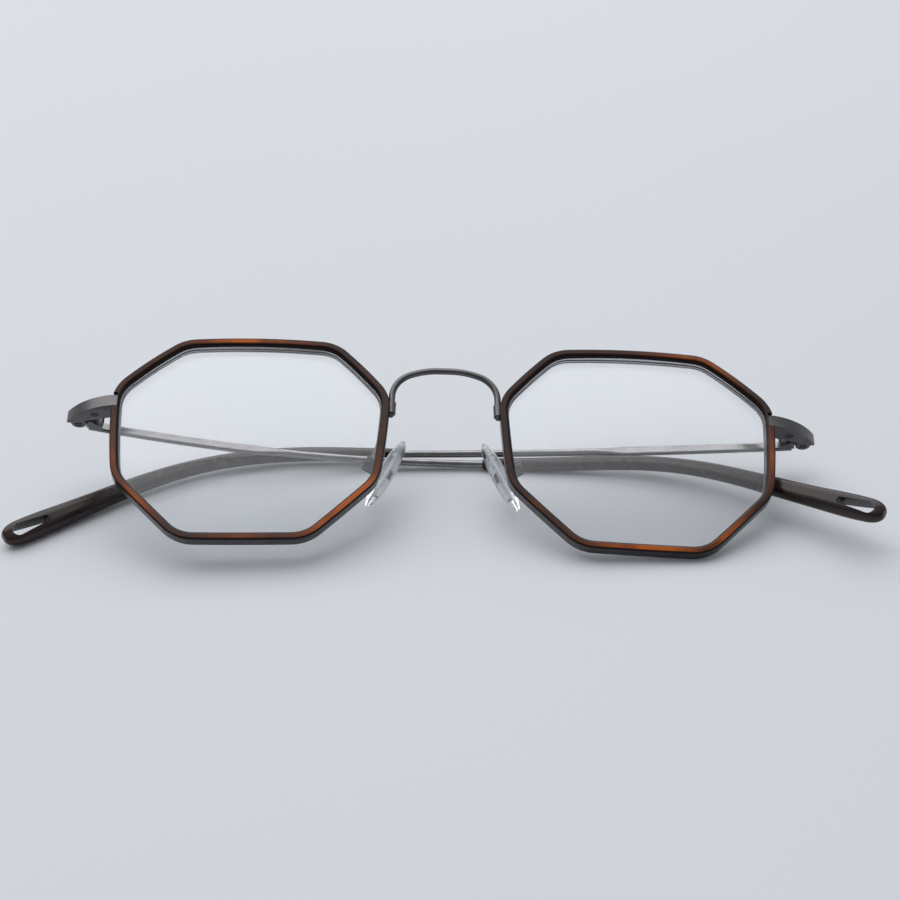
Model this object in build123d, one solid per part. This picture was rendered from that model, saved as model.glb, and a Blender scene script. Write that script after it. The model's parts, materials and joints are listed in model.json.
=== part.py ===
from build123d import *
import copy
import math
import os

# Octagonal eyeglasses, folded, resting on a table. Sizes in mm.
# The pieces are drawn in the frame's own axes and then set down on the table:
# x to the viewer's right, y up the lenses, z out of the front.
# The middle between the lens centres is 0, 0, 0 and the front of the rims is at z = 0.

# Rim outline of the right lens, corners measured from the lens centre, nasal side at -x
lens_centre_x = 34.5
rim_corners = [(-14.39, 20.77), (13.48, 20.38), (25.61, 9.41), (24.21, -9.22),
               (11.96, -21.59), (-10.95, -20.79), (-23.01, -8.41), (-24.61, 9.62)]
rim_side_bows = [0.65, 0.45, 0.4, 0.12, 0.1, 0.1, 0.25, 0.35]
rim_corner_radius = 7.5
rim_band = 1.6
seat_gap = 0.05

# Acetate ring: a crown in front and a leg that holds the lens
crown_depth = 0.4
leg_depth = 1.55
leg_inset = 0.55
crown_outer_round = 0.3
crown_inner_round = 0.7
groove_depth = 0.5
groove_width = 0.6
groove_start = 1.05
ring_split_width = 0.12

# Metal eyewire: an outer wall behind the crown and a lip behind the leg
eyewire_wall = 0.5
eyewire_lip = 0.25
lip_overhang = 0.15
eyewire_round = 0.1

# Lens
lens_curve_radius = 400.0
lens_thickness = 1.5
lens_crown_z = -0.1

# Bridge wire, from the foot on the right eyewire to its middle
bridge_wire_radius = 0.6
bridge_points = [(9.8, 5.7, -1.5), (9.5, 13.55, -1.2), (3.6, 15.55, -0.75), (0.0, 15.55, -0.75)]
bridge_bend_radii = [5.0, 15.0]
bridge_foot_round = 0.4
bridge_collar_radius = 0.85
bridge_collar_height = 2.3
bridge_collar_rise = 0.6

# End pieces: a curved cover plate, with two leaves stacked behind it
plate_bottom_y = 5.6
plate_height = 2.6
plate_thickness = 0.5
plate_start = (59.1, -0.45)
plate_middle = (64.65, -2.45)
plate_end = (68.8, -6.6)
plate_seat_depth = 1.0
plate_bevel = 0.2
notch_gap = 0.05
pin_x = 66.65
pin_z = -6.9
barrel_radius = 1.4
leaf_rear = [(59.2, -4.1), (63.6, -5.45), (65.61, -6.1)]
leaf_stop_point = (66.3, -4.9)
leaf_joint_gap = 0.04
leaf_bevel = 0.12
solder_gap = 0.02
tongue_thickness = 0.9
tongue_gap = 0.05

# Screws
hinge_screw_radius = 0.45
hinge_head_radius = 0.7
rim_screw_x = 63.4
rim_screw_z = -3.5
rim_screw_radius = 0.45
rim_head_radius = 0.75
screw_head_height = 0.35
screw_recess = 0.08
screw_slot_width = 0.22
screw_slot_depth = 0.18
screw_hole_gap = 0.03

# Hinge block: a tongue between the leaves, a scooped body and a hook, drawn along the temple
tongue_radius = 1.2
stop_gap = 0.02
stop_lead = 0.12
stop_trail = 0.6
open_angle = 92.0
neck_low = -0.95
neck_high = 0.5
block_length = 4.35
block_top = 1.45
block_height = 2.5
scoop_centre = (3.77, 2.1)
scoop_radius = 1.65
hook_width = 0.3
hook_top = 1.75
swing_gap = 0.3
face_gap = 0.15

# Temple wire: a flattened bar that becomes a round wire and runs on inside the tip
bar_offset = 1.3
bar_gap = 0.04
bar_drop = 0.35
bar_height = 1.9
bar_thickness = 0.9
bar_start = 2.2
bar_end = 33.0
wire_start = 38.0
wire_diameter = 1.35
core_end_gap = 33.0
core_bore_end_gap = 32.0
temple_length = 153.0
course_step = 0.5
section_spacing = 8.0
corner_share = 0.94

# Acetate tips: distance before the temple's end, height and thickness
tip_start_sections = [(77.5, 1.65, 1.65), (77.0, 1.95, 1.9), (76.5, 2.1, 2.05), (76.0, 2.18, 2.1)]
tip_sections = [(76.0, 2.18, 2.1), (69.0, 2.5, 2.3), (61.0, 2.7, 2.4), (53.0, 2.75, 2.4),
                (45.0, 2.8, 2.4), (37.0, 2.95, 2.45), (27.0, 3.3, 2.6), (18.5, 3.7, 2.8), (12.0, 4.1, 3.1),
                (7.0, 4.45, 3.3), (3.5, 4.4, 3.2), (1.5, 3.9, 2.8), (0.5, 2.9, 2.1), (0, 1.5, 1.2)]
core_bore_gap = 0.05
eyelet_end_gap = 2.6
eyelet_span = 5.5
eyelet_near_radius = 0.6
eyelet_far_radius = 1.15

# How each temple is set: folding angle, rise, bow, ear bend down and in, and the bend's start
# before the temple's end and its length
temple_settings = {
    "left": (15.5, -1.062, 0.00442, 27.63, 8.29, 60.8, 37.8),
    "right": (9.186, 0.733, 0.00111, 35.83, 17.45, 69.55, 49.53),
}

# Nose pads, drawn about the middle of the right pad
pad_centre = (10.4, -3.7, -6.05)
pad_long_axis = (-0.459, 0.863, 0.205)
pad_face_axis = (-0.877, -0.406, -0.253)
pad_length = 14.2
pad_low_radius = 3.8
pad_high_radius = 2.7
pad_thickness = 3.1
pad_round = 1.2
insert_length = 8.4
insert_width = 3.4
insert_thickness = 0.6
insert_depth = 0.4
insert_round = 1.0
tab_thickness = 0.9
tab_width = 1.6
tab_side_gap = 0.05
pad_pivot_depth = 3.0
box_radius = 1.4
box_front_depth = 2.2
box_back_depth = 4.4
box_floor = 0.4
pad_screw_radius = 0.3
pad_screw_head_radius = 0.5
pad_screw_head_height = 0.3
arm_wire_radius = 0.45
arm_points = [(11.2, 5.5, -2.1), (11.2, 5.2, -3.6), (11.6, 3.2, -5.3), (12.3, 1.0, -6.0)]
arm_seat_height = 0.95
arm_seat_depth = 3.4

# Rounds of looking for the three resting points
settle_rounds = 6

# Derived sizes
eyewire_front = crown_depth + seat_gap
leg_back = crown_depth + leg_depth
eyewire_back = leg_back + seat_gap + eyewire_lip
lip_inset = rim_band + lip_overhang
plate_top_y = plate_bottom_y + plate_height
leaf_middle_y = plate_bottom_y + plate_height / 2
tongue_slot = tongue_thickness + 2 * tongue_gap
core_end = temple_length - core_end_gap
core_bore_end = temple_length - core_bore_end_gap
eyelet_far = temple_length - eyelet_end_gap
eyelet_near = eyelet_far - eyelet_span
screw_bottom_y = plate_bottom_y + screw_recess
screw_top_y = plate_top_y - screw_recess - screw_head_height
block_start = barrel_radius + swing_gap
block_low = bar_thickness / 2 - bar_offset + bar_gap
closed_angle = min(setting[0] for setting in temple_settings.values())


def side_disc(index, inset):
    """Disc whose edge is one side of the rim, drawn in by the inset."""
    start = Vector(*rim_corners[index])
    end = Vector(*rim_corners[(index + 1) % len(rim_corners)])
    bow = rim_side_bows[index]
    radius = (end - start).length ** 2 / (8 * bow) + bow / 2
    along = (end - start).normalized()
    inward = Vector(along.Y, -along.X)
    centre = (start + end) / 2 + inward * (radius - bow)
    return Pos(centre.X, centre.Y) * Circle(radius - inset)


def rim_outline(inset):
    """Outline of the right rim, drawn in by the inset: what all eight discs share, with round corners."""
    outline = side_disc(0, inset)
    for index in range(1, len(rim_corners)):
        outline = outline & side_disc(index, inset)
    outline = fillet(outline.vertices(), rim_corner_radius - inset)
    return Pos(lens_centre_x, 0) * outline


def rim_layer(outer_inset, inner_inset, front_depth, back_depth):
    """Ring between two insets, from one depth behind the front to another."""
    ring = rim_outline(outer_inset) - rim_outline(inner_inset)
    return Pos(0, 0, -back_depth) * extrude(ring, back_depth - front_depth)


def slab(inset, front_depth, back_depth):
    """Solid plate with the rim's outline."""
    return Pos(0, 0, -back_depth) * extrude(rim_outline(inset), back_depth - front_depth)


# Acetate ring, eyewire and lens of the right side

def plate_notch():
    """Room in the rim's outer edge for the cover plate."""
    width = lens_centre_x
    room = Rectangle(width, plate_height + 2 * notch_gap)
    room = Pos(plate_start[0] - notch_gap + width / 2, leaf_middle_y) * room
    return Pos(0, 0, -plate_seat_depth) * extrude(room, plate_seat_depth)


def split_cut(height):
    """Thin cut across the temporal side of a ring."""
    cut = Box(lens_centre_x, ring_split_width, 4 * leg_back)
    return Pos(lens_centre_x * 3 / 2, height) * cut


def acetate_rim():
    ring = rim_layer(0, rim_band, 0, crown_depth) + rim_layer(leg_inset, rim_band, crown_depth, leg_back)
    outer_edges = ring.faces().sort_by(Axis.Z)[-1].outer_wire().edges()
    ring = fillet(outer_edges, crown_outer_round)
    inner_edges = ring.faces().sort_by(Axis.Z)[-1].inner_wires()[0].edges()
    ring = fillet(inner_edges, crown_inner_round)
    groove = rim_layer(rim_band - groove_depth, rim_band, groove_start, groove_start + groove_width)
    ring = ring - groove - plate_notch()
    return ring - split_cut(plate_bottom_y - notch_gap)


def eyewire():
    wall = rim_layer(0, eyewire_wall, eyewire_front, eyewire_back)
    lip = rim_layer(eyewire_wall, lip_inset, leg_back + seat_gap, eyewire_back)
    body = wall + lip
    back_edges = body.edges().group_by(Axis.Z)[0]
    body = fillet(back_edges, eyewire_round)
    return body - plate_notch() - split_cut(leaf_middle_y)


def lens():
    back_z = lens_crown_z - lens_thickness
    ball = Rot(90, 0, 0) * Sphere(lens_curve_radius)
    front_ball = Pos(lens_centre_x, 0, lens_crown_z - lens_curve_radius) * ball
    back_ball = Pos(lens_centre_x, 0, back_z - lens_curve_radius) * ball
    blank = slab(rim_band + seat_gap, 0, leg_back - seat_gap) + slab(lip_inset + seat_gap, 0, 2 * eyewire_back)
    blank = (blank & front_ball) - back_ball
    edge_front = groove_start + seat_gap
    edge_back = groove_start + groove_width - seat_gap
    return blank + slab(rim_band - groove_depth + seat_gap, edge_front, edge_back)


# Bridge wire between the eyewires

def bridge():
    path = FilletPolyline(*bridge_points, radius=bridge_bend_radii)
    foot = Vector(*bridge_points[0])
    wire = sweep(Plane(origin=foot, z_dir=path % 0) * Circle(bridge_wire_radius), path=path)
    end_face = wire.faces().sort_by(Axis.Y)[0]
    wire = fillet(end_face.edges(), bridge_foot_round)
    collar = Cylinder(bridge_collar_radius, bridge_collar_height, align=(Align.CENTER, Align.CENTER, Align.MIN))
    rise = (path % 0) * bridge_collar_rise
    wire += Plane(origin=foot + rise, z_dir=path % 0).location * collar
    wire -= slab(0, 0, eyewire_back)
    return wire + mirror(wire, about=Plane.YZ)


# End piece of the right side, drawn in plan: x across, and the depth as the second axis

plan = Plane(origin=(0, 0, 0), x_dir=(1, 0, 0), z_dir=(0, -1, 0))


def plan_part(face, low, high):
    """Solid with a plan outline, between two heights."""
    return Pos(0, high, 0) * extrude(plan * face, high - low)


def plate_circle():
    """Centre and radius of the cover plate's outer face, through its three points."""
    arc = ThreePointArc(plate_start, plate_middle, plate_end)
    return arc.arc_center, arc.radius


def plate_disc(inward):
    centre, radius = plate_circle()
    return Pos(centre.X, centre.Y) * Circle(radius - inward)


def cover_plate():
    reach = lens_centre_x
    window = Pos(plate_start[0] + reach / 2, plate_end[1] + reach / 2) * Rectangle(reach, reach)
    face = (plate_disc(0) - plate_disc(plate_thickness)) & window
    plate = plan_part(face, plate_bottom_y, plate_top_y)
    outer_face = plate.faces().filter_by(GeomType.CYLINDER).sort_by(SortBy.AREA)[-1]
    outer_edges = outer_face.edges().filter_by(GeomType.CIRCLE)
    plate = chamfer(outer_edges, plate_bevel)
    return plate - slab(0, plate_seat_depth, eyewire_back)


def leaf_outline():
    """Plan outline of both leaves: behind the plate, with a round barrel at the pin."""
    rear = [Vector(*point) for point in leaf_rear]
    barrel_left = Vector(pin_x - barrel_radius, pin_z)
    front = [Vector(pin_x, pin_z), Vector(*plate_end), Vector(plate_end[0], 0), Vector(plate_start[0], 0)]
    body = make_face(Polyline(*rear, barrel_left, *front, close=True))
    body = body & plate_disc(plate_thickness + solder_gap)
    return body + Pos(pin_x, pin_z) * Circle(barrel_radius)


def leaf_recess():
    """Plan area where the leaves are cut back for the temple's tongue and its stop."""
    corner = Vector(*leaf_rear[-1])
    stop = Vector(*leaf_stop_point)
    far_x = plate_end[0] + barrel_radius
    far_z = pin_z - 2 * barrel_radius
    points = [Vector(plate_start[0], corner.Y), corner, stop, Vector(stop.X, 0),
              Vector(far_x, 0), Vector(far_x, far_z), Vector(plate_start[0], far_z)]
    return make_face(Polyline(*points, close=True))


def plan_pin(x, z, radius, low, high):
    return plan_part(Pos(x, z) * Circle(radius), low, high)


def screw(x, z, radius, head_radius):
    """Screw put in from below, with a slotted head sunk in the lower leaf."""
    head_top = screw_bottom_y + screw_head_height
    head = plan_pin(x, z, head_radius, screw_bottom_y, head_top)
    shank = plan_pin(x, z, radius, screw_bottom_y, screw_top_y)
    slot = Pos(x, screw_bottom_y, z) * Box(2 * head_radius, 2 * screw_slot_depth, screw_slot_width)
    return head + shank - slot


def screw_bore(x, z, radius, head_radius):
    """Room for a screw and its head."""
    head_top = screw_bottom_y + screw_head_height
    head = plan_pin(x, z, head_radius + screw_hole_gap, plate_bottom_y, head_top)
    shank = plan_pin(x, z, radius + screw_hole_gap, plate_bottom_y, screw_top_y + screw_hole_gap)
    return head + shank


def rim_screw():
    return screw(rim_screw_x, rim_screw_z, rim_screw_radius, rim_head_radius)


def hinge_screw():
    return screw(pin_x, pin_z, hinge_screw_radius, hinge_head_radius)


def leaf(low, high, outer_face):
    """One leaf between two heights, with its outer edges bevelled and the tongue's slot cut out."""
    body = plan_part(leaf_outline(), low, high)
    body = chamfer(body.edges().group_by(Axis.Y)[outer_face], leaf_bevel)
    slot_half = tongue_slot / 2
    body -= plan_part(leaf_recess(), leaf_middle_y - slot_half, leaf_middle_y + slot_half)
    body -= screw_bore(rim_screw_x, rim_screw_z, rim_screw_radius, rim_head_radius)
    body -= screw_bore(pin_x, pin_z, hinge_screw_radius, hinge_head_radius)
    return body - slab(0, 0, eyewire_back)


def lower_leaf():
    return leaf(plate_bottom_y, leaf_middle_y - leaf_joint_gap / 2, 0)


def upper_leaf():
    return leaf(leaf_middle_y + leaf_joint_gap / 2, plate_top_y, -1)


# Nose pad of the right side, with its insert, box, screw and arm

pad_place = Plane(origin=pad_centre, x_dir=pad_long_axis, z_dir=pad_face_axis).location
box_middle = (box_front_depth + box_back_depth) / 2


def cross_pin(radius, start, end, height, depth):
    """Round bar along the pad's width."""
    return Pos(height, (start + end) / 2, -depth) * Rot(90, 0, 0) * Cylinder(radius, end - start)


def pad_insert():
    plate = extrude(RectangleRounded(insert_length, insert_width, insert_round), insert_thickness / 2, both=True)
    plate = Pos(0, 0, -insert_depth) * plate
    tab_length = pad_pivot_depth - insert_depth
    tab = Pos(0, 0, -insert_depth - tab_length / 2) * Box(tab_width, tab_thickness, tab_length)
    half = tab_thickness / 2
    tab += cross_pin(tab_width / 2, -half, half, 0, pad_pivot_depth)
    tab -= cross_pin(pad_screw_radius + screw_hole_gap, -half, half, 0, pad_pivot_depth)
    return pad_place * (plate + tab)


def nose_pad(insert):
    low = Pos(pad_low_radius - pad_length / 2, 0) * Circle(pad_low_radius)
    high = Pos(pad_length / 2 - pad_high_radius, 0) * Circle(pad_high_radius)
    face = make_hull(low.edges() + high.edges())
    pad = extrude(face, pad_thickness / 2, both=True)
    edges = pad.edges().group_by(Axis.Z)
    pad = fillet(edges[0] + edges[-1], pad_round)
    return pad_place * pad - insert


def pad_box():
    box = Pos(0, 0, -box_middle) * Cylinder(box_radius, box_back_depth - box_front_depth)
    slot_depth = box_back_depth - box_front_depth - box_floor
    slot = Box(4 * box_radius, tab_thickness + 2 * tab_side_gap, slot_depth)
    box -= Pos(0, 0, -box_front_depth - slot_depth / 2) * slot
    box -= cross_pin(pad_screw_radius + screw_hole_gap, -box_radius, box_radius, 0, pad_pivot_depth)
    head_room = cross_pin(pad_screw_head_radius + screw_hole_gap, -2 * box_radius,
                          pad_screw_head_height - box_radius, 0, pad_pivot_depth)
    return pad_place * (box - head_room)


def pad_screw():
    seat = pad_screw_head_height - box_radius
    head = cross_pin(pad_screw_head_radius, -box_radius, seat, 0, pad_pivot_depth)
    slot = Box(2 * pad_screw_head_radius, 2 * screw_slot_depth, screw_slot_width)
    head -= Pos(0, -box_radius, -pad_pivot_depth) * slot
    shank = cross_pin(pad_screw_radius, seat, box_radius - pad_screw_head_height, 0, pad_pivot_depth)
    return pad_place * (head + shank)


def pad_arm(box):
    """Bent wire from the eyewire to the pad box."""
    end = pad_place * Pos(arm_seat_height, 0, -arm_seat_depth)
    points = [Vector(*point) for point in arm_points] + [end.position]
    path = Spline(points)
    arm = sweep(Plane(origin=path @ 0, z_dir=path % 0) * Circle(arm_wire_radius), path=path)
    return arm - slab(0, 0, eyewire_back) - box


# Temple: its middle line, the wire, the tip and the hinge block, as they are on the right side

def temple_course(side):
    """Middle line of a temple: points and directions at even steps from the hinge."""
    fold, rise, bow, bend_down, bend_in, bend_end_gap, bend_length = temple_settings[side]
    bend_start = temple_length - bend_end_gap
    heading = math.radians(fold)
    count = round(temple_length / course_step)
    step = temple_length / count
    place = Vector(pin_x + bar_offset * math.sin(heading), leaf_middle_y - bar_drop,
                   pin_z - bar_offset * math.cos(heading))
    points, directions = [], []
    for index in range(count + 1):
        distance = index * step
        share = min(max((distance - bend_start) / bend_length, 0), 1)
        share = share * share * (3 - 2 * share)
        plan_angle = bow * distance + math.radians(bend_in) * share - heading
        rise_angle = math.radians(rise) - math.radians(bend_down) * share
        flat = math.cos(rise_angle)
        direction = Vector(-math.cos(plan_angle) * flat, math.sin(rise_angle), math.sin(plan_angle) * flat)
        points.append(place)
        directions.append(direction)
        place = place + direction * step
    return points, directions


def course_plane(course, distance):
    """Plane across the temple: x through its thickness, y up its height."""
    points, directions = course
    index = round(distance / temple_length * (len(points) - 1))
    direction = directions[index]
    thickness_axis = Vector(0, 1, 0).cross(direction).normalized()
    return Plane(origin=points[index], x_dir=thickness_axis, z_dir=direction)


def course_loft(course, sections, grow=0):
    """Rounded bar along the temple; a section is a distance, a height and a thickness."""
    faces = []
    for distance, height, thickness in sections:
        corner = min(height, thickness) / 2 * corner_share + grow
        shape = RectangleRounded(thickness + 2 * grow, height + 2 * grow, corner)
        faces.append(course_plane(course, distance) * shape)
    return loft(faces)


def even_sections(start, end, height, thickness):
    """Like sections from a start to an end, about one spacing apart."""
    steps = max(round((end - start) / section_spacing), 1)
    places = [start + (end - start) * step / steps for step in range(steps + 1)]
    return [(place, height, thickness) for place in places]


def temple_wire(course):
    """Flat bar, then a short change of section, then round wire."""
    bar = even_sections(bar_start, bar_end, bar_height, bar_thickness)
    core = even_sections(wire_start, core_end, wire_diameter, wire_diameter)
    return course_loft(course, bar) + course_loft(course, [bar[-1], core[0]]) + course_loft(course, core)


def from_end(sections):
    return [(temple_length - gap, height, thickness) for gap, height, thickness in sections]


def temple_tip(course):
    tip = course_loft(course, from_end(tip_start_sections)) + course_loft(course, from_end(tip_sections))
    bore = even_sections(wire_start, core_bore_end, wire_diameter, wire_diameter)
    tip -= course_loft(course, bore, core_bore_gap)
    middle = (eyelet_near + eyelet_far) / 2
    cross = course_plane(course, middle)
    eyelet_place = Plane(origin=cross.origin, x_dir=cross.z_dir, z_dir=cross.x_dir)
    near = Pos(eyelet_near - middle, 0) * Circle(eyelet_near_radius)
    far = Pos(eyelet_far - middle, 0) * Circle(eyelet_far_radius)
    eyelet = extrude(make_hull(near.edges() + far.edges()), 2 * wire_diameter, both=True)
    return tip - eyelet_place.location * eyelet


def along_temple(point, fold):
    """A plan point as seen from the pin along a temple folded to an angle."""
    angle = math.radians(fold)
    x, z = point[0] - pin_x, point[1] - pin_z
    return Vector(-x * math.cos(angle) - z * math.sin(angle), z * math.cos(angle) - x * math.sin(angle))


def leaf_side():
    """Area that the block leaves free, so that it can close against the leaves."""
    near = along_temple(leaf_rear[-1], closed_angle)
    far = along_temple(leaf_rear[-2], closed_angle)
    along = (far - near).normalized()
    outward = Vector(-along.Y, along.X)
    base = near - outward * face_gap
    reach = 2 * block_length
    corners = [base - along * reach, base + along * reach,
               base + along * reach + outward * reach, base - along * reach + outward * reach]
    return make_face(Polyline(*corners, close=True))


def stop_lobe():
    """Part of the tongue that meets the leaves' stop wall when the temple is open."""
    corner = along_temple(leaf_rear[-1], open_angle)
    end = along_temple(leaf_stop_point, open_angle)
    along = (end - corner).normalized()
    foot = corner - along * corner.dot(along)
    outward = foot.normalized()
    face = outward * (foot.length - stop_gap)
    corners = [Vector(0, 0), face - along * stop_lead, face + along * stop_trail, along * stop_trail]
    return make_face(Polyline(*corners, close=True))


def hinge_block(side):
    """Hinge block: tongue, scooped body and hook."""
    box_height = block_top - block_low
    body = Pos(block_length / 2, block_low + box_height / 2) * Rectangle(block_length, box_height)
    hook_height = hook_top - block_low
    hook = Pos(block_length - hook_width / 2, block_low + hook_height / 2) * Rectangle(hook_width, hook_height)
    body = body - Pos(*scoop_centre) * Circle(scoop_radius) + hook
    body = body - Circle(block_start) - leaf_side()
    neck_length = block_start + swing_gap
    neck = Pos(neck_length / 2, (neck_low + neck_high) / 2) * Rectangle(neck_length, neck_high - neck_low)
    tongue = Circle(tongue_radius) + neck + stop_lobe() - Circle(hinge_screw_radius + screw_hole_gap)
    block = extrude(body, block_height / 2, both=True) + extrude(tongue, tongue_thickness / 2, both=True)
    fold = math.radians(temple_settings[side][0])
    direction = (-math.cos(fold), 0, -math.sin(fold))
    place = Plane(origin=(pin_x, leaf_middle_y, pin_z), x_dir=direction, z_dir=(0, 1, 0))
    return place.location * block


# All pieces, in the frame's own axes

def side_parts():
    """The right side's pieces of the front."""
    insert = pad_insert()
    box = pad_box()
    return {
        "lens": lens(), "acetate_rim": acetate_rim(), "eyewire": eyewire(),
        "cover_plate": cover_plate(), "upper_leaf": upper_leaf(), "lower_leaf": lower_leaf(),
        "rim_screw": rim_screw(), "hinge_screw": hinge_screw(),
        "pad_arm": pad_arm(box), "pad_box": box, "pad_screw": pad_screw(),
        "pad_insert": insert, "nose_pad": nose_pad(insert),
    }


def temple_parts(side):
    course = temple_course(side)
    return {"temple_wire": temple_wire(course), "temple_tip": temple_tip(course), "hinge_block": hinge_block(side)}


def all_parts():
    """Every piece by name; the left side is the right side mirrored, with its own temple."""
    right = side_parts()
    pieces = {name + "_right": piece for name, piece in {**right, **temple_parts("right")}.items()}
    for name, piece in {**right, **temple_parts("left")}.items():
        pieces[name + "_left"] = mirror(piece, about=Plane.YZ)
    pieces["bridge"] = bridge()
    return pieces


# Setting down: the folded glasses stand on one eyewire, one tip and the middle of the other temple

def lowest_point(piece, up):
    ground = Plane(origin=up * -2 * temple_length, z_dir=up) * Rectangle(4 * temple_length, 4 * temple_length)
    return piece.distance_to_with_closest_points(ground)[1]


def table_place(pieces):
    """Location that turns the frame's axes into the table's."""
    feet = [pieces[name] for name in ("eyewire_right", "temple_tip_right", "temple_tip_left")]
    up = Vector(0, 1, 2).normalized()
    for _ in range(settle_rounds):
        rim, tip, middle = [lowest_point(piece, up) for piece in feet]
        normal = (tip - rim).cross(middle - rim).normalized()
        up = normal if normal.dot(up) > 0 else -normal
    turned = Plane(origin=rim, x_dir=Vector(1, 0, 0) - up * up.X, z_dir=up).location.inverse()
    box = Compound(children=[turned * copy.copy(piece) for piece in pieces.values()]).bounding_box()
    centre = box.center()
    return Pos(-centre.X, -centre.Y, 0) * turned


if __name__ == "__main__":
    os.makedirs("parts", exist_ok=True)
    pieces = all_parts()
    place = table_place(pieces)
    for name, piece in pieces.items():
        export_step(place * piece, f"parts/{name}.step")
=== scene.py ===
# %% [markdown]
# # Octagonal eyeglasses, folded on a table
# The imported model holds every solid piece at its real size: lenses, acetate rings, metal eyewires,
# bridge, end pieces, nose pads and temples. This lesson loads that model, gives each piece the
# finish of the real one, models the pieces that need softer shapes, and sets floor, light and camera.

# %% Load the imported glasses
import json
import math

import bpy
from mathutils import Matrix, Vector


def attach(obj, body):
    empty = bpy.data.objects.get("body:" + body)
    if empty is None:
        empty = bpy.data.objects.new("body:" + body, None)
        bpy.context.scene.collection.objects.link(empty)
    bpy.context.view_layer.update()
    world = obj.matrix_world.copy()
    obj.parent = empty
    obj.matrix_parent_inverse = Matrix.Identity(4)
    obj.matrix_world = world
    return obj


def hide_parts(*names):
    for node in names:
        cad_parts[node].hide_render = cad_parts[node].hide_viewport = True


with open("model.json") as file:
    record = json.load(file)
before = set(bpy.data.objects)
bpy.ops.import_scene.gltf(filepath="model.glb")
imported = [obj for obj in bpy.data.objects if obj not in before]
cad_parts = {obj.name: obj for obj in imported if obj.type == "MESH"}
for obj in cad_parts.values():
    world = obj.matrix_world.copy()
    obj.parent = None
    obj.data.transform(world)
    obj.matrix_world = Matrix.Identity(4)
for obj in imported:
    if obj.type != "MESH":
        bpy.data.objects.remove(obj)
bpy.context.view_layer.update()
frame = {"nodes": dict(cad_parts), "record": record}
print("nodes loaded:", len(frame["nodes"]))

# %% [markdown]
# ## The front's own axes
# The front lies back on the table, so its own axes are turned in the scene. Both hinge pins are
# upright in the front, one on each side, so the two hinge joints of the record give these axes:
# x runs from pin to pin, y along a pin, and z out of the face of the lenses. The middle between the
# pins lies 6.9 mm above the origin and 6.9 mm behind it. Places that belong to the front are then
# written in millimetres in those axes, which is easier to read than table places.

# %% Turn places of the front into places of the scene
MM = 0.001
PIN_Y, PIN_Z = 6.9, -6.9
hinges = {joint["name"]: joint for joint in frame["record"]["behaviour"]["joints"]}
pin_left = Vector(hinges["hinge_left"]["pos_m"])
pin_right = Vector(hinges["hinge_right"]["pos_m"])
front_x = (pin_right - pin_left).normalized()
front_y = Vector(hinges["hinge_left"]["axis"]).normalized()
front_z = front_x.cross(front_y)
front_origin = (pin_left + pin_right) / 2 - front_y * PIN_Y * MM - front_z * PIN_Z * MM


def front_place(x, y, z):
    """A place of the front, in millimetres, as a place of the scene."""
    return front_origin + (front_x * x + front_y * y + front_z * z) * MM


print("front origin:", tuple(round(value, 4) for value in front_origin))

# %% [markdown]
# ## A start for every finish
# Each finish is one Principled shader. Its fine detail comes from noise in Object coordinates, so
# the grain stays where it is on the piece when the temples swing or the camera moves. Noise seldom
# leaves the range from 0.3 to 0.7, so most finishes stretch that range over their own values.

# %% Helpers for the finishes
NOISE_LOW, NOISE_HIGH = 0.3, 0.7


def new_finish(name, **values):
    """A material with one Principled shader, its plain values set on the shader's own sockets."""
    material = bpy.data.materials.new(name)
    material.use_nodes = True
    shader = material.node_tree.nodes["Principled BSDF"]
    for socket, value in values.items():
        shader.inputs[socket.replace("_", " ")].default_value = value
    return material, material.node_tree.nodes, material.node_tree.links, shader


def grain(nodes, links, scale, detail=3.0, distortion=0.0, stretch=(1, 1, 1)):
    """Noise in Object coordinates; scale is how many blotches fit in a metre."""
    coordinates = nodes.new("ShaderNodeTexCoord")
    mapping = nodes.new("ShaderNodeMapping")
    mapping.inputs["Scale"].default_value = stretch
    noise = nodes.new("ShaderNodeTexNoise")
    noise.inputs["Scale"].default_value = scale
    noise.inputs["Detail"].default_value = detail
    noise.inputs["Distortion"].default_value = distortion
    links.new(coordinates.outputs["Object"], mapping.inputs["Vector"])
    links.new(mapping.outputs["Vector"], noise.inputs["Vector"])
    return noise.outputs["Fac"]


def spread(nodes, links, value, low, high, start=0.0, end=1.0):
    """Turns a noise value into another range."""
    node = nodes.new("ShaderNodeMapRange")
    node.inputs["From Min"].default_value = start
    node.inputs["From Max"].default_value = end
    node.inputs["To Min"].default_value = low
    node.inputs["To Max"].default_value = high
    links.new(value, node.inputs["Value"])
    return node.outputs["Result"]


def colours(nodes, links, value, stops):
    """A colour ramp with a list of places and colours."""
    ramp = nodes.new("ShaderNodeValToRGB")
    while len(ramp.color_ramp.elements) < len(stops):
        ramp.color_ramp.elements.new(0.5)
    for element, (place, colour) in zip(ramp.color_ramp.elements, stops):
        element.position = place
        element.color = (*colour, 1)
    links.new(value, ramp.inputs["Fac"])
    return ramp.outputs["Color"]


def raise_grain(nodes, links, shader, value, strength, depth):
    """Bump from a noise value; depth is in metres."""
    bump = nodes.new("ShaderNodeBump")
    bump.inputs["Strength"].default_value = strength
    bump.inputs["Distance"].default_value = depth
    links.new(value, bump.inputs["Height"])
    links.new(bump.outputs["Normal"], shader.inputs["Normal"])


# %% [markdown]
# ## Gunmetal
# The metal parts are plated in a satin gunmetal: dark gray, slightly warm, softly blurred
# reflections. Real plating has a very fine even grain and small differences in gloss where it was
# handled, so the colour and the roughness drift a little, and a fine bump breaks the reflections.

# %% Gunmetal finish
DRIFT_SCALE, PLATING_SCALE = 260, 5200
PLATING_BUMP, PLATING_DEPTH = 0.25, 0.02 * MM


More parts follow.
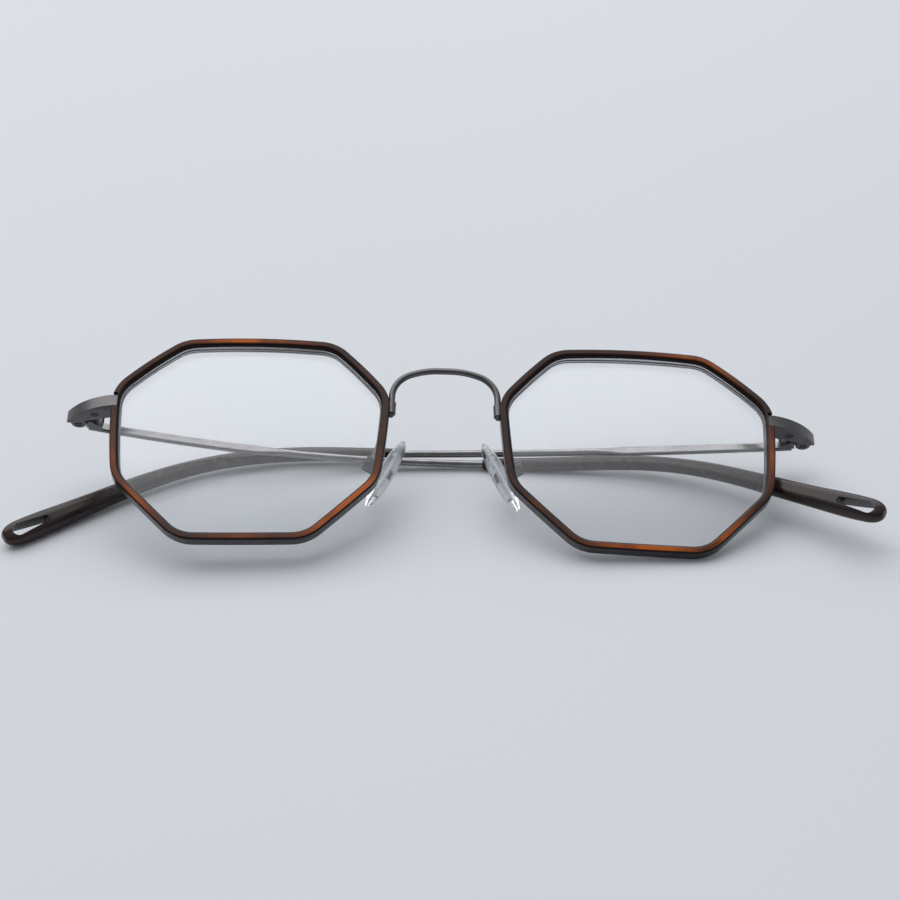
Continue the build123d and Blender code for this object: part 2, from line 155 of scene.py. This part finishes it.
def gunmetal(name, dark, light, rough_low, rough_high):
    """Plated metal that drifts between two grays and between two values of roughness."""
    material, nodes, links, shader = new_finish(name, Metallic=1.0)
    drift = grain(nodes, links, DRIFT_SCALE, 4)
    plating = grain(nodes, links, PLATING_SCALE, 2)
    stops = [(NOISE_LOW, dark), (NOISE_HIGH, light)]
    links.new(colours(nodes, links, drift, stops), shader.inputs["Base Color"])
    roughness = spread(nodes, links, drift, rough_low, rough_high, NOISE_LOW, NOISE_HIGH)
    links.new(roughness, shader.inputs["Roughness"])
    raise_grain(nodes, links, shader, plating, PLATING_BUMP, PLATING_DEPTH)
    return material


satin_metal = gunmetal("satin_gunmetal", (0.105, 0.10, 0.103), (0.145, 0.138, 0.142), 0.26, 0.36)
temple_metal = gunmetal("polished_gunmetal", (0.20, 0.195, 0.20), (0.29, 0.283, 0.29), 0.14, 0.22)
screw_metal = gunmetal("screw_steel", (0.06, 0.06, 0.06), (0.12, 0.115, 0.115), 0.28, 0.42)
print("metals:", satin_metal.name, temple_metal.name, screw_metal.name)

# %% [markdown]
# ## Tortoise acetate
# The rings are cut from a dark tortoise sheet: nearly black, with brown smoke and long patches of
# amber. Light through the flat front is painted in: the amber is kept where the surface faces
# straight forward, and the rounded edges get painted shade, near black. Patches sit where the real
# rings show them, each a soft ball of influence in the front's axes, broken up by streaks.

# %% Tortoise finish
NEAR_BLACK = (0.010, 0.004, 0.003)
DARK_BROWN = (0.040, 0.011, 0.003)
RED_BROWN = (0.12, 0.024, 0.001)
AMBER = (0.42, 0.085, 0.0)
SMOKE_SCALE, STREAK_SCALE = 90, 130
SMOKE_GLOW_LOW, SMOKE_GLOW_HIGH = 0.12, 0.5
STREAK_DIM, STREAK_LIFT = 0.7, 1.1
# How squarely the surface must face the front before the painted glow of light shows on it.
PAINTED_GLOW_FROM = 0.88


def combine(nodes, links, operation, first, second):
    """Joins two values with a sum, product or maximum; the second may be a plain number."""
    node = nodes.new("ShaderNodeMath")
    node.operation = operation
    links.new(first, node.inputs[0])
    if isinstance(second, float):
        node.inputs[1].default_value = second
    else:
        links.new(second, node.inputs[1])
    return node.outputs["Value"]


def painted_glow_facing(nodes, links, low, high):
    """Painted light: one where the surface looks straight out of the front, falling to zero round its
    edges.
    """
    coordinates = nodes.new("ShaderNodeTexCoord")
    product = nodes.new("ShaderNodeVectorMath")
    product.operation = "DOT_PRODUCT"
    product.inputs[1].default_value = front_z
    links.new(coordinates.outputs["Normal"], product.inputs[0])
    return spread(nodes, links, product.outputs["Value"], 0.0, 1.0, low, high)


def tortoise(name, patches):
    """Dark tortoise with a painted glow; a patch is a place of the front, a reach in millimetres and
    a strength.
    """
    material, nodes, links, shader = new_finish(name, IOR=1.45)
    shader.inputs["Specular IOR Level"].default_value = 0.25
    coordinates = nodes.new("ShaderNodeTexCoord")
    smoke = grain(nodes, links, SMOKE_SCALE, 4, 1.0)
    streaks = grain(nodes, links, STREAK_SCALE, 3, 0.4)
    amber_and_painted_glow = spread(nodes, links, smoke, SMOKE_GLOW_LOW, SMOKE_GLOW_HIGH, 0.42, 0.7)
    for place, reach, strength in patches:
        distance = nodes.new("ShaderNodeVectorMath")
        distance.operation = "DISTANCE"
        distance.inputs[1].default_value = front_place(*place)
        links.new(coordinates.outputs["Object"], distance.inputs[0])
        near = spread(nodes, links, distance.outputs["Value"], strength, 0.0, 0.0, reach * MM)
        amber_and_painted_glow = combine(nodes, links, "MAXIMUM", amber_and_painted_glow, near)
    broken = spread(nodes, links, streaks, STREAK_DIM, STREAK_LIFT, 0.35, 0.6)
    amber_and_painted_glow = combine(nodes, links, "MULTIPLY", amber_and_painted_glow, broken)
    # Painted light: amber only where the ring faces the front, painted shade near black on the
    # rounded edges.
    amber_and_painted_glow = combine(nodes, links, "MULTIPLY", amber_and_painted_glow, painted_glow_facing(nodes, links, PAINTED_GLOW_FROM, 1.0))
    stops = [(0.0, NEAR_BLACK), (0.25, DARK_BROWN), (0.55, RED_BROWN), (1.0, AMBER)]
    links.new(colours(nodes, links, amber_and_painted_glow, stops), shader.inputs["Base Color"])
    roughness = spread(nodes, links, smoke, 0.16, 0.26, NOISE_LOW, NOISE_HIGH)
    links.new(roughness, shader.inputs["Roughness"])
    return material


PATCHES_LEFT = [
    ((-36.0, 20.0, 0), 20, 1.0),
    ((-57.0, -4.0, 0), 14, 0.8),
    ((-53.0, -12.0, 0), 12, 0.85),
    ((-17.0, -15.0, 0), 19, 1.35),
    ((-36.0, -21.0, 0), 14, 0.7),
]
PATCHES_RIGHT = [
    ((47.0, 18.0, 0), 18, 0.85),
    ((35.0, -21.5, 0), 19, 1.2),
    ((59.0, -1.0, 0), 13, 0.8),
    ((50.0, -18.0, 0), 12, 0.9),
]
ring_left = tortoise("tortoise_left", PATCHES_LEFT)
ring_right = tortoise("tortoise_right", PATCHES_RIGHT)
print("tortoise:", ring_left.name, ring_right.name)

# %% [markdown]
# ## Tip acetate
# The temple tips are a very dark brown, almost black, with a gloss that handling has softened a
# little. A faint brown smoke shows only close up.

# %% Tip finish
TIP_DARK = (0.016, 0.008, 0.007)
TIP_LIGHT = (0.034, 0.016, 0.012)
TIP_SMOKE_SCALE = 240


def tip_acetate(name):
    """Nearly black acetate with a faint smoke and a soft gloss."""
    material, nodes, links, shader = new_finish(name, IOR=1.5)
    shader.inputs["Specular IOR Level"].default_value = 0.4
    smoke = grain(nodes, links, TIP_SMOKE_SCALE, 5, 1.0)
    stops = [(0.35, TIP_DARK), (0.75, TIP_LIGHT)]
    links.new(colours(nodes, links, smoke, stops), shader.inputs["Base Color"])
    roughness = spread(nodes, links, smoke, 0.2, 0.3, NOISE_LOW, NOISE_HIGH)
    links.new(roughness, shader.inputs["Roughness"])
    return material


dark_tip = tip_acetate("dark_tip_acetate")
print("tips:", dark_tip.name)

# %% [markdown]
# ## Clear pieces
# Lenses, silicone pads and the plates in the pads let light through. Glass in Cycles would keep
# lamps off the floor behind it. So on pads and plates the shadow rays alone take a Transparent
# shader, and a lens is no glass at all: light passes straight through it, and a share of the room is
# mirrored, more of it at a flat angle.

# %% Clear finishes
WEAR_DIM = 0.985
WEAR_BUMP = 0.5
LENS_IOR = 1.5
LENS_MIRROR_SHARE = 0.65
LENS_CLEAN = (0.995, 0.996, 0.997)
LENS_SMEARED = (0.985, 0.987, 0.99)
LENS_COATING = (0.95, 0.97, 1.0, 1)


def clear(name, colour, rough_low, rough_high, ior, passed, scale, depth):
    """Clear and worn; passed is the share of lamp light that reaches what lies behind the piece."""
    material, nodes, links, shader = new_finish(name, Transmission_Weight=1.0, IOR=ior)
    wear = grain(nodes, links, scale, 3)
    worn = tuple(value * WEAR_DIM for value in colour)
    stops = [(0.35, worn), (0.7, colour)]
    links.new(colours(nodes, links, wear, stops), shader.inputs["Base Color"])
    roughness = spread(nodes, links, wear, rough_low, rough_high, 0.35, 0.7)
    links.new(roughness, shader.inputs["Roughness"])
    raise_grain(nodes, links, shader, wear, WEAR_BUMP, depth)
    rays = nodes.new("ShaderNodeLightPath")
    opening = nodes.new("ShaderNodeBsdfTransparent")
    opening.inputs["Color"].default_value = (passed, passed, passed, 1)
    either = nodes.new("ShaderNodeMixShader")
    links.new(rays.outputs["Is Shadow Ray"], either.inputs["Fac"])
    links.new(shader.outputs["BSDF"], either.inputs[1])
    links.new(opening.outputs["BSDF"], either.inputs[2])
    links.new(either.outputs["Shader"], nodes["Material Output"].inputs["Surface"])
    return material


def thin_lens(name):
    """Two coated faces: each lets light straight through and mirrors a little of the room."""
    material, nodes, links, shader = new_finish(name)
    nodes.remove(shader)
    smear = grain(nodes, links, 40, 2, 0.3, (1.0, 0.3, 1.0))
    opening = nodes.new("ShaderNodeBsdfTransparent")
    stops = [(0.35, LENS_SMEARED), (0.65, LENS_CLEAN)]
    links.new(colours(nodes, links, smear, stops), opening.inputs["Color"])
    mirror = nodes.new("ShaderNodeBsdfGlossy")
    mirror.inputs["Color"].default_value = LENS_COATING
    links.new(spread(nodes, links, smear, 0.24, 0.32, 0.35, 0.7), mirror.inputs["Roughness"])
    fresnel = nodes.new("ShaderNodeFresnel")
    fresnel.inputs["IOR"].default_value = LENS_IOR
    either = nodes.new("ShaderNodeMixShader")
    coated = combine(nodes, links, "MULTIPLY", fresnel.outputs["Fac"], LENS_MIRROR_SHARE)
    links.new(coated, either.inputs["Fac"])
    links.new(opening.outputs["BSDF"], either.inputs[1])
    links.new(mirror.outputs["BSDF"], either.inputs[2])
    links.new(either.outputs["Shader"], nodes["Material Output"].inputs["Surface"])
    return material


lens_clear = thin_lens("lens_clear")
silicone = clear(
    "clear_silicone", (0.95, 0.96, 0.97), rough_low=0.08, rough_high=0.2,
    ior=1.42, passed=0.75, scale=900, depth=0.08 * MM)
insert_clear = clear(
    "insert_plate", (0.80, 0.82, 0.84), rough_low=0.12, rough_high=0.25,
    ior=1.58, passed=0.6, scale=700, depth=0.03 * MM)
print("clear:", lens_clear.name, silicone.name, insert_clear.name)

# %% [markdown]
# ## Finishes on the solid pieces
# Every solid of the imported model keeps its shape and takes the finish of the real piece.

# %% Put the finishes on
FINISHES = {
    "bridge": satin_metal, "eyewire": satin_metal, "cover_plate": satin_metal,
    "upper_leaf": satin_metal, "lower_leaf": satin_metal, "hinge_block": satin_metal,
    "pad_arm": satin_metal, "pad_box": satin_metal, "temple_wire": temple_metal,
    "rim_screw": screw_metal, "hinge_screw": screw_metal, "pad_screw": screw_metal,
    "lens": lens_clear, "nose_pad": silicone, "pad_insert": insert_clear, "temple_tip": dark_tip,
    "acetate_rim_left": ring_left, "acetate_rim_right": ring_right,
}
for name, node in frame["nodes"].items():
    kind = name.removesuffix("_left").removesuffix("_right")
    finish = FINISHES.get(name) or FINISHES[kind]
    node.data.materials.clear()
    node.data.materials.append(finish)
print("finished nodes:", len(frame["nodes"]))

# %% [markdown]
# ## Silicone nose pads
# A real pad is moulded in soft clear silicone round its plate: a flat drop with domed faces, wider
# at its lower end. It could be a rounded box or a revolved profile. A ball pressed flat and drawn
# in towards its upper end gives the domed faces directly, so each pad starts as a ball.

# %% Model the pads
PAD_CENTRE = (10.4, -3.7, -6.05)
PAD_LONG = Vector((-0.459, 0.863, 0.205)).normalized()
PAD_FACE = Vector((-0.877, -0.406, -0.253)).normalized()
PAD_LENGTH, PAD_WIDTH, PAD_THICKNESS = 14.1, 7.5, 3.05
PAD_TOP_SHARE = 0.72
PAD_TOP_FROM = 0.42
PAD_TAPER_REACH = 0.8
PAD_SEGMENTS, PAD_RINGS = 64, 40


def pad_matrix(side):
    """The pad's own axes, set in the front and mirrored for the left side."""
    sign = -1 if side == "left" else 1
    face = (PAD_FACE - PAD_LONG * PAD_FACE.dot(PAD_LONG)).normalized()
    columns = []
    for axis in (PAD_LONG, face.cross(PAD_LONG), face):
        columns.append(front_x * axis.x * sign + front_y * axis.y + front_z * axis.z)
    place = Matrix(columns).transposed().to_4x4()
    place.translation = front_place(PAD_CENTRE[0] * sign, PAD_CENTRE[1], PAD_CENTRE[2])
    return place


def soft_pad(side):
    """A pressed ball whose upper tip is drawn in, set in its place on the front."""
    bpy.ops.object.select_all(action="DESELECT")
    half = (PAD_LENGTH * MM / 2, PAD_WIDTH * MM / 2, PAD_THICKNESS * MM / 2)
    bpy.ops.mesh.primitive_uv_sphere_add(
        segments=PAD_SEGMENTS, ring_count=PAD_RINGS, radius=1, scale=half)
    pad = bpy.context.object
    pad.name = "silicone_pad_" + side
    bpy.ops.object.transform_apply(location=False, rotation=False, scale=True)
    bpy.ops.object.mode_set(mode="EDIT")
    bpy.ops.mesh.select_all(action="DESELECT")
    bpy.ops.object.mode_set(mode="OBJECT")
    for vertex in pad.data.vertices:
        vertex.select = vertex.co.x > PAD_LENGTH * MM * PAD_TOP_FROM
    bpy.ops.object.mode_set(mode="EDIT")
    bpy.ops.transform.resize(
        value=(1, PAD_TOP_SHARE, 1), center_override=(0, 0, 0),
        use_proportional_edit=True, proportional_edit_falloff="SMOOTH",
        proportional_size=PAD_LENGTH * MM * PAD_TAPER_REACH)
    bpy.ops.object.mode_set(mode="OBJECT")
    pad.matrix_world = pad_matrix(side)
    bpy.ops.object.transform_apply(location=True, rotation=True, scale=True)
    bpy.ops.object.mode_set(mode="EDIT")
    bpy.ops.mesh.select_all(action="SELECT")
    bpy.ops.mesh.normals_make_consistent(inside=False)
    bpy.ops.object.mode_set(mode="OBJECT")
    bpy.ops.object.shade_smooth()
    pad.data.materials.append(silicone)
    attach(pad, "pad_" + side)
    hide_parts("nose_pad_" + side)
    return pad


pads = [soft_pad(side) for side in ("left", "right")]
print("pads:", [tuple(round(value * 1000, 1) for value in pad.dimensions) for pad in pads])

# %% [markdown]
# ## Table
# The glasses lie on a plain pale table. A large plane is enough, because the camera looks down and
# never sees its edge. Its colour is a cool light gray with the faintest drift.

# %% Table
TABLE_SIZE = 6
TABLE_DARK = (0.655, 0.675, 0.71)
TABLE_LIGHT = (0.675, 0.695, 0.73)


def table_finish():
    """Matt pale gray that drifts a very little over a hand's breadth or more."""
    material, nodes, links, shader = new_finish("pale_table", Roughness=0.55, IOR=1.3)
    drift = grain(nodes, links, 2.5, 2)
    stops = [(NOISE_LOW, TABLE_DARK), (NOISE_HIGH, TABLE_LIGHT)]
    links.new(colours(nodes, links, drift, stops), shader.inputs["Base Color"])
    return material


bpy.ops.object.select_all(action="DESELECT")
bpy.ops.mesh.primitive_plane_add(size=TABLE_SIZE, location=(0, 0, 0))
table = bpy.context.object
table.name = "table"
table.data.materials.append(table_finish())
print("table:", tuple(table.dimensions))

# %% [markdown]
# ## Light
# The photograph has one broad soft light above and slightly behind the glasses, and a dim room in
# front of them. A large area lamp gives the soft shadows. The world is bright overhead and darker
# low down and towards the viewer, so that metal and acetate mirror a dark front and a light top.

# %% Light
LAMP_PLACE = (-0.22, 0.50, 0.95)
LAMP_AIM = (0, 0.02, 0)
LAMP_SIZE = (1.7, 1.3)
LAMP_POWER = 10.8
BRIGHT_SIDE = (0.0, 0.75, 0.66)
ROOM_COLOUR = (0.93, 0.96, 1.0, 1)
ROOM_DIM, ROOM_BRIGHT = 0.2, 0.66
ROOM_DIM_UNTIL, ROOM_BRIGHT_FROM = -0.25, 0.85


def soft_box(name, place, aim, size, power):
    """A rectangular lamp that looks at a place; size in metres, power in watts."""
    bpy.ops.object.light_add(type="AREA", location=place)
    lamp = bpy.context.object
    lamp.name = name
    lamp.data.shape = "RECTANGLE"
    lamp.data.size, lamp.data.size_y = size
    lamp.data.energy = power
    lamp.rotation_euler = (Vector(aim) - Vector(place)).to_track_quat("-Z", "Y").to_euler()
    return lamp


def dim_room():
    """A world that brightens with how far a ray points up and away from the viewer."""
    world = bpy.data.worlds.new("dim_room")
    bpy.context.scene.world = world
    world.use_nodes = True
    nodes, links = world.node_tree.nodes, world.node_tree.links
    direction = nodes.new("ShaderNodeTexCoord").outputs["Generated"]
    slope = nodes.new("ShaderNodeVectorMath")
    slope.operation = "DOT_PRODUCT"
    slope.inputs[1].default_value = BRIGHT_SIDE
    links.new(direction, slope.inputs[0])
    room = nodes["Background"]
    room.inputs["Color"].default_value = ROOM_COLOUR
    strength = spread(
        nodes, links, slope.outputs["Value"], ROOM_DIM, ROOM_BRIGHT, ROOM_DIM_UNTIL, ROOM_BRIGHT_FROM)
    links.new(strength, room.inputs["Strength"])


soft_box("soft_box_above", LAMP_PLACE, LAMP_AIM, LAMP_SIZE, LAMP_POWER)
dim_room()

# %% [markdown]
# ## Camera
# The camera looks down at about 32 degrees from straight in front, from about a third of a metre,
# as the photograph was taken. Its place, turn and lens came from fitting the rims' outlines.

# %% Camera
CAMERA_PLACE = (-0.00177, -0.28715, 0.19017)
CAMERA_TURN = (58.092, 0.188, -0.827)
SENSOR_WIDTH, LENS_LENGTH = 36, 75.17
NEAREST_SEEN = 0.01
turns = [math.radians(turn) for turn in CAMERA_TURN]
bpy.ops.object.camera_add(location=CAMERA_PLACE, rotation=turns)
camera = bpy.context.object
camera.data.sensor_width = SENSOR_WIDTH
camera.data.lens = LENS_LENGTH
camera.data.clip_start = NEAREST_SEEN
bpy.context.scene.camera = camera
bpy.context.scene.view_settings.view_transform = "Standard"
print("camera:", camera.data.lens, "mm")
